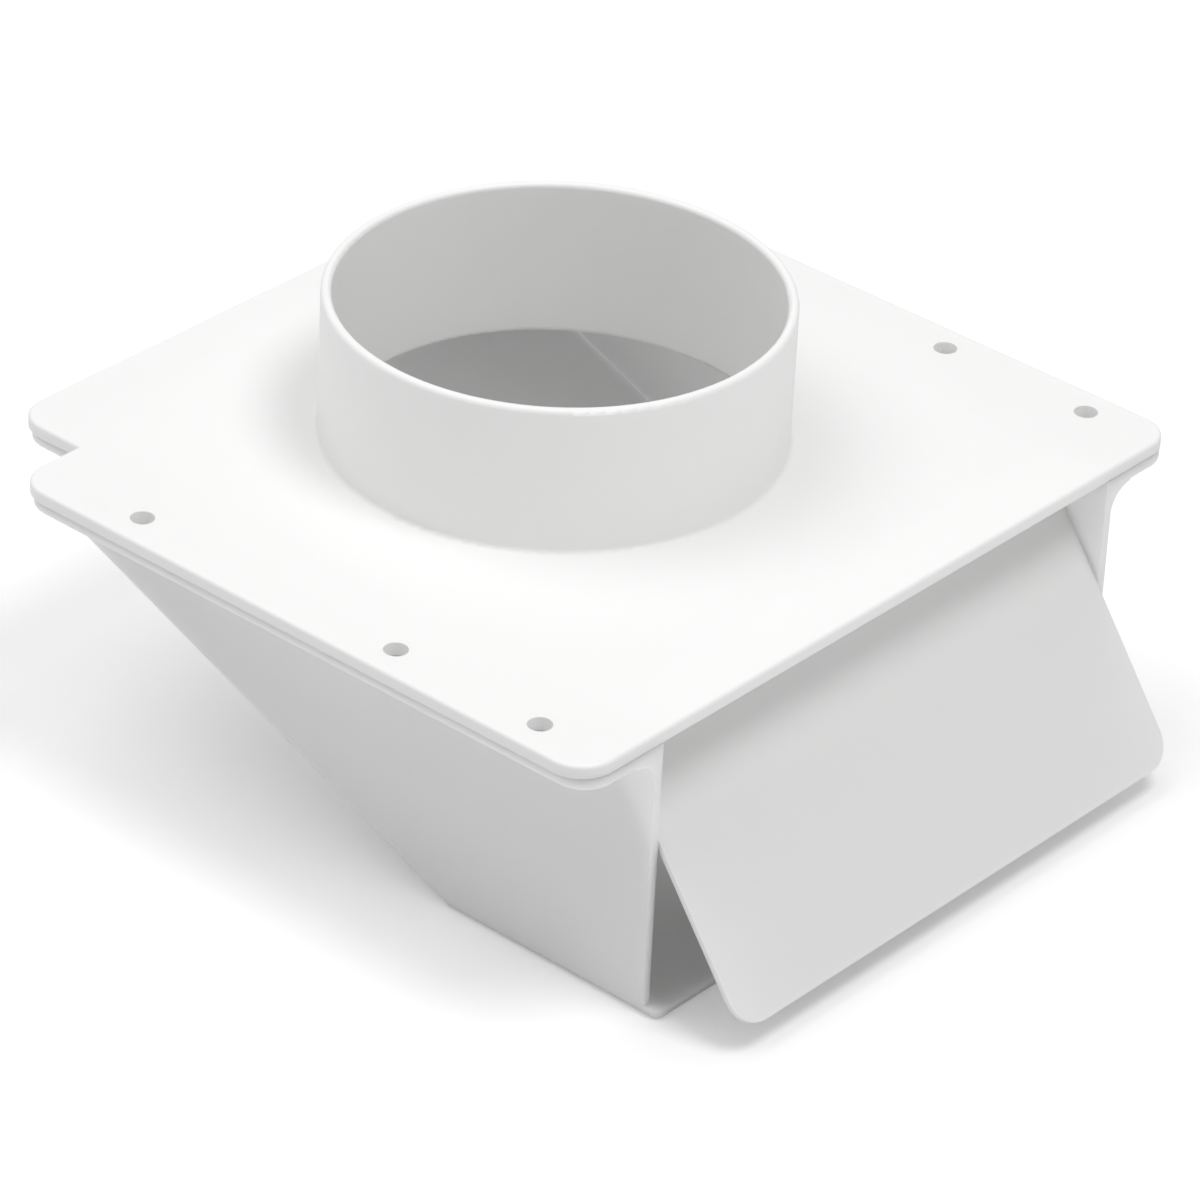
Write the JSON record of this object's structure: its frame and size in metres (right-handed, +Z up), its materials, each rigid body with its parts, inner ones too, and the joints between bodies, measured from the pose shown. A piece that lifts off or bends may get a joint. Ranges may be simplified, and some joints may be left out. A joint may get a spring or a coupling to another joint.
{
  "type": "under-eave exhaust vent",
  "caption": "White moulded-plastic under-eave exhaust vent: flat screw-on flange with a round duct collar above, a wedge-shaped hood below and a hinged backdraught flap in its open mouth.",
  "frame": {"origin": "on the collar's axis, level with the plate's top face, which lies against the soffit", "axes": "+X out of the hood's open mouth, +Y towards one side flange, +Z up along the duct collar, away from the hood"},
  "size_m": [0.202, 0.19, 0.101],
  "materials": {
    "white_plastic": "satin moulded plastic, white"
  },
  "bodies": {
    "vent": {"collar_plate": "white_plastic", "hood": "white_plastic"},
    "flap": {"damper_flap": "white_plastic"}
  },
  "joints": [
    {"name": "flap_hinge", "type": "hinge", "parent": "vent", "child": "flap", "pos_m": [0.0766, 0, -0.0052], "axis": [0, -1, 0], "range_deg": [-16, 59.5]}
  ]
}
